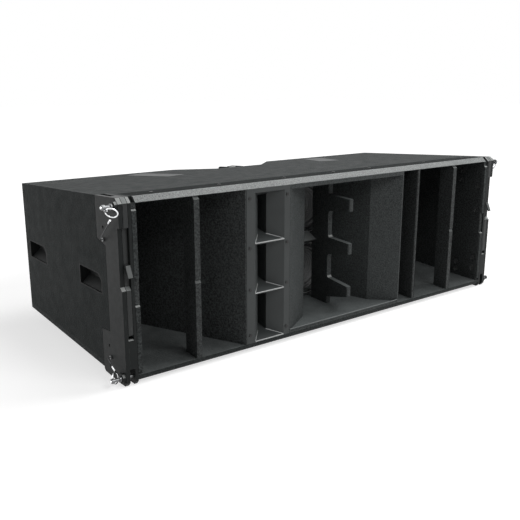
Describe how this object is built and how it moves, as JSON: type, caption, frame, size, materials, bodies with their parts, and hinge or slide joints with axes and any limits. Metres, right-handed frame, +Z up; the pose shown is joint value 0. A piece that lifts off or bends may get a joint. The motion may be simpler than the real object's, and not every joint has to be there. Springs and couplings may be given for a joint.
{
  "type": "line array speaker",
  "caption": "Wide, shallow line array loudspeaker cabinet with horn-loaded drivers behind an open front, a sloping top, a rear notch and side rigging with sliding links and locking pins.",
  "frame": {"origin": "Middle of the overall box in X and Y, on the plane that the cabinet stands on.", "axes": "+X runs to the cabinet's right as seen from the front, -Y is the front with the horns, +Z is up."},
  "size_m": [1.261, 0.527, 0.3866],
  "materials": {
    "cabinet_paint": "textured dark grey paint on plywood, satin",
    "inner_panel": "textured near-black paint on plywood, matt",
    "edge_bar": "satin light grey edge profile",
    "grip_strip": "coarse dark grey rubber, matt",
    "handle_cup": "moulded black plastic, matt",
    "driver_frame": "black painted cast metal",
    "cone": "black pressed paper with a folded edge",
    "horn_wall": "dark grey moulded board, fine grain",
    "hf_horn": "dark grey moulded plastic, satin",
    "circuit_board": "green circuit board with coils and capacitors",
    "connector_plate": "black anodised plate",
    "socket_plastic": "black glass-filled plastic",
    "rigging_paint": "dark grey powder-coated steel, satin",
    "pin_steel": "bright turned stainless steel",
    "cable_steel": "thin stranded steel cable",
    "black_screws": "black zinc screws"
  },
  "bodies": {
    "cabinet": {"top_panel": "cabinet_paint", "bottom_panel": "cabinet_paint", "side_wall_left": "inner_panel", "side_wall_right": "inner_panel", "side_cheek_left": "cabinet_paint", "side_cheek_right": "cabinet_paint", "rear_panel_left": "cabinet_paint", "rear_panel_right": "cabinet_paint", "rear_notch_panel": "cabinet_paint", "front_trim_bar": "edge_bar", "top_grip_strip": "grip_strip", "edge_pads": "grip_strip", "handle_cups": "handle_cup", "woofer_baffle_left": "inner_panel", "woofer_baffle_right": "inner_panel", "woofer_chassis_left": "driver_frame", "woofer_chassis_right": "driver_frame", "woofer_cones": "cone", "mouth_posts": "inner_panel", "port_nose": "inner_panel", "mid_horn_left": "horn_wall", "mid_horn_right": "horn_wall", "mid_horn_liners": "horn_wall", "phase_comb": "horn_wall", "mid_baffle": "inner_panel", "mid_chassis": "driver_frame", "mid_cones": "cone", "hf_horn": "hf_horn", "hf_drivers": "driver_frame", "crossover_board": "circuit_board", "connector_plate": "connector_plate", "line_sockets": "socket_plastic", "rig_outer_left": "rigging_paint", "rig_outer_right": "rigging_paint", "rig_channel_left": "rigging_paint", "rig_channel_right": "rigging_paint", "rear_rig_frame": "rigging_paint", "lanyard_upper_left": "cable_steel", "lanyard_lower_left": "cable_steel", "lanyard_upper_right": "cable_steel", "lanyard_lower_right": "cable_steel", "rig_bolts": "black_screws", "panel_screws": "black_screws", "lanyard_screws": "pin_steel"},
    "front_link_left": {"front_link_left": "rigging_paint"},
    "front_link_right": {"front_link_right": "rigging_paint"},
    "rear_link": {"rear_link": "rigging_paint"},
    "rear_pin": {"rear_pin": "pin_steel"},
    "pin_upper_left": {"pin_upper_left": "pin_steel"},
    "button_upper_left": {"button_upper_left": "pin_steel"},
    "ring_upper_left": {"ring_upper_left": "pin_steel"},
    "pin_upper_right": {"pin_upper_right": "pin_steel"},
    "button_upper_right": {"button_upper_right": "pin_steel"},
    "ring_upper_right": {"ring_upper_right": "pin_steel"},
    "pin_lower_left": {"pin_lower_left": "pin_steel"},
    "button_lower_left": {"button_lower_left": "pin_steel"},
    "ring_lower_left": {"ring_lower_left": "pin_steel"},
    "pin_lower_right": {"pin_lower_right": "pin_steel"},
    "button_lower_right": {"button_lower_right": "pin_steel"},
    "ring_lower_right": {"ring_lower_right": "pin_steel"}
  },
  "joints": [
    {"name": "front_link_left_slide", "type": "slide", "parent": "cabinet", "child": "front_link_left", "axis": [0, 0, 1], "range_m": [0, 0.0335]},
    {"name": "front_link_right_slide", "type": "slide", "parent": "cabinet", "child": "front_link_right", "axis": [0, 0, 1], "range_m": [0, 0.0335]},
    {"name": "rear_link_slide", "type": "slide", "parent": "cabinet", "child": "rear_link", "axis": [0, 0, 1], "range_m": [0, 0.1265]},
    {"name": "rear_pin_slide", "type": "slide", "parent": "cabinet", "child": "rear_pin", "axis": [1, 0, 0], "range_m": [0, 0.06]},
    {"name": "pin_upper_left_slide", "type": "slide", "parent": "cabinet", "child": "pin_upper_left", "axis": [-1, 0, 0], "range_m": [0, 0.045]},
    {"name": "button_upper_left_press", "type": "slide", "parent": "pin_upper_left", "child": "button_upper_left", "axis": [1, 0, 0], "range_m": [0, 0.003], "stiffness_N_per_m": 400, "springref_m": -0.002},
    {"name": "ring_upper_left_swing", "type": "hinge", "parent": "pin_upper_left", "child": "ring_upper_left", "pos_m": [-0.6225, -0.24545, 0.36555], "axis": [0, 0.7071, -0.7071], "range_deg": [0, 120]},
    {"name": "pin_upper_right_slide", "type": "slide", "parent": "cabinet", "child": "pin_upper_right", "axis": [1, 0, 0], "range_m": [0, 0.045]},
    {"name": "button_upper_right_press", "type": "slide", "parent": "pin_upper_right", "child": "button_upper_right", "axis": [-1, 0, 0], "range_m": [0, 0.003], "stiffness_N_per_m": 400, "springref_m": -0.002},
    {"name": "ring_upper_right_swing", "type": "hinge", "parent": "pin_upper_right", "child": "ring_upper_right", "pos_m": [0.6225, -0.24545, 0.36555], "axis": [0, -0.7071, 0.7071], "range_deg": [0, 120]},
    {"name": "pin_lower_left_slide", "type": "slide", "parent": "cabinet", "child": "pin_lower_left", "axis": [-1, 0, 0], "range_m": [0, 0.045]},
    {"name": "button_lower_left_press", "type": "slide", "parent": "pin_lower_left", "child": "button_lower_left", "axis": [1, 0, 0], "range_m": [0, 0.003], "stiffness_N_per_m": 400, "springref_m": -0.002},
    {"name": "ring_lower_left_swing", "type": "hinge", "parent": "pin_lower_left", "child": "ring_lower_left", "pos_m": [-0.6225, -0.23357, 0.01553], "axis": [0, 0.1392, 0.9903], "range_deg": [0, 120]},
    {"name": "pin_lower_right_slide", "type": "slide", "parent": "cabinet", "child": "pin_lower_right", "axis": [1, 0, 0], "range_m": [0, 0.045]},
    {"name": "button_lower_right_press", "type": "slide", "parent": "pin_lower_right", "child": "button_lower_right", "axis": [-1, 0, 0], "range_m": [0, 0.003], "stiffness_N_per_m": 400, "springref_m": -0.002},
    {"name": "ring_lower_right_swing", "type": "hinge", "parent": "pin_lower_right", "child": "ring_lower_right", "pos_m": [0.6225, -0.23357, 0.01553], "axis": [0, -0.1392, -0.9903], "range_deg": [0, 120]}
  ]
}
